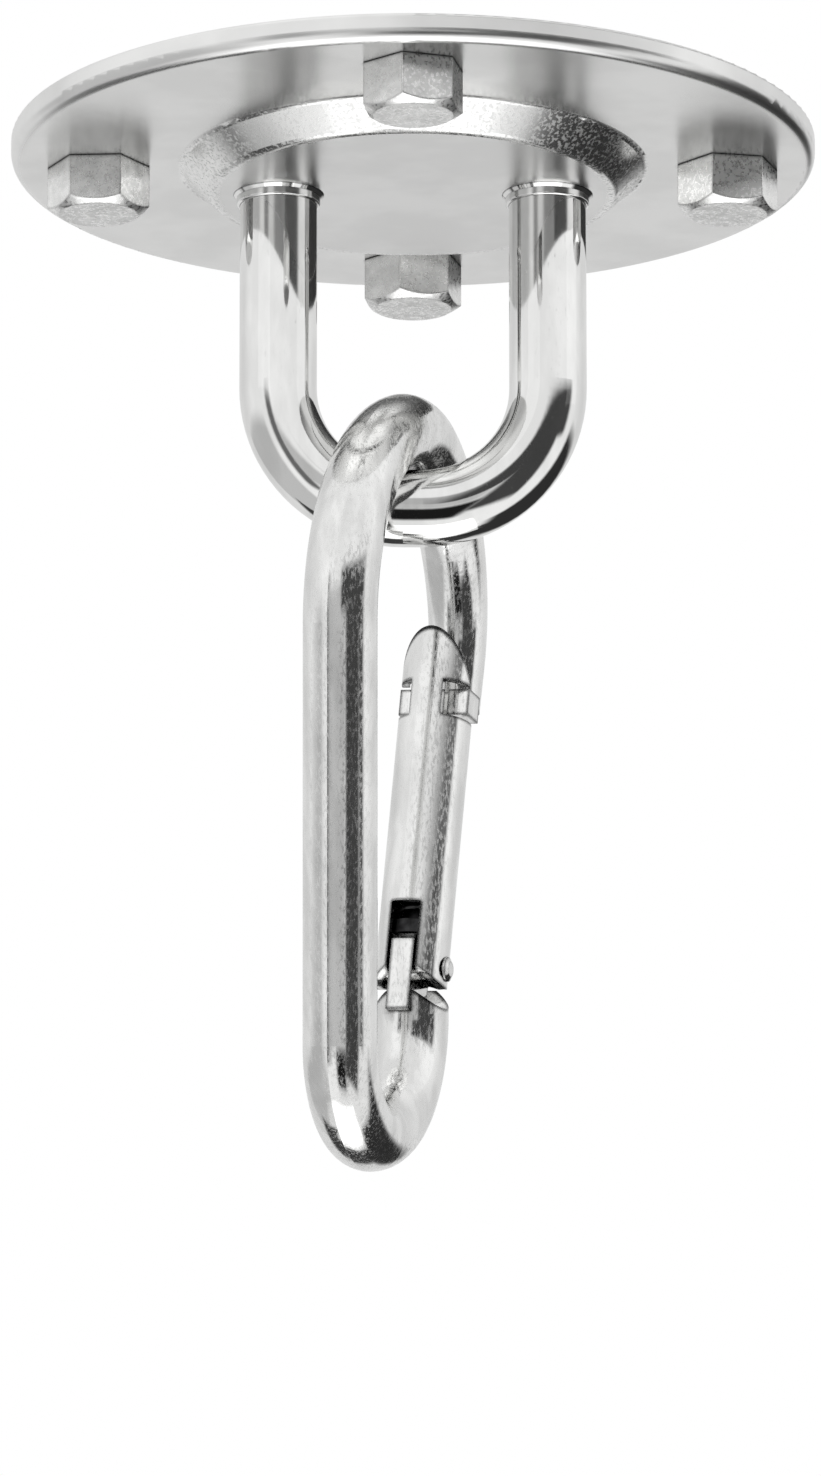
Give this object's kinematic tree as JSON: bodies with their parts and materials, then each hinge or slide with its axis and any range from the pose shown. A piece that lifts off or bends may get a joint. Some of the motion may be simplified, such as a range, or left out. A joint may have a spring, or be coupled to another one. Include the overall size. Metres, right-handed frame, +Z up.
{
  "type": "ceiling hook",
  "caption": "Round ceiling plate with a welded U bar and a hanging snap hook whose sprung gate opens inward on a pin.",
  "frame": {"origin": "centre of the plate's ceiling face, on the ceiling plane", "axes": "+Z up into the ceiling; the U bar lies in the XZ plane; +X to the right and -Y towards the viewer"},
  "size_m": [0.1176, 0.1176, 0.1532],
  "materials": {
    "plate_steel": "polished",
    "bar_steel": "polished",
    "screw_steel": "satin",
    "hook_steel": "polished",
    "gate_steel": "polished",
    "inner_steel": "plain"
  },
  "bodies": {
    "ceiling_mount": {"ceiling_plate": "plate_steel", "u_bar": "bar_steel", "weld_collar_left": "bar_steel", "weld_collar_right": "bar_steel", "back_weld_left": "plate_steel", "back_weld_right": "plate_steel", "lag_screw_right": "screw_steel", "lag_screw_back": "screw_steel", "lag_screw_left": "screw_steel", "lag_screw_front": "screw_steel"},
    "snap_hook": {"carabiner_body": "hook_steel"},
    "hook_gate": {"gate": "gate_steel", "gate_pin": "gate_steel", "gate_spring": "inner_steel", "spring_stop": "inner_steel"},
    "gate_follower": {"gate_plunger": "inner_steel"}
  },
  "joints": [
    {"name": "hook_swing", "type": "hinge", "parent": "ceiling_mount", "child": "snap_hook", "pos_m": [-0.0012, 0, -0.05595], "axis": [1, 0, 0], "range_deg": [-60, 60]},
    {"name": "gate_hinge", "type": "hinge", "parent": "snap_hook", "child": "hook_gate", "pos_m": [-0.00017, 0.0181, -0.12042], "axis": [0.9397, -0.3329, -0.0785], "range_deg": [0, 33], "stiffness_Nm_per_rad": 0.25, "springref_deg": -34.38},
    {"name": "plunger_slide", "type": "slide", "parent": "hook_gate", "child": "gate_follower", "axis": [0.0901, 0.0194, 0.9957], "range_m": [0, 0.00224], "deforming": ["gate_spring"]}
  ],
  "couplings": [
    {"joint": "plunger_slide", "follows": "gate_hinge", "m_per_rad": 0.0038}
  ]
}
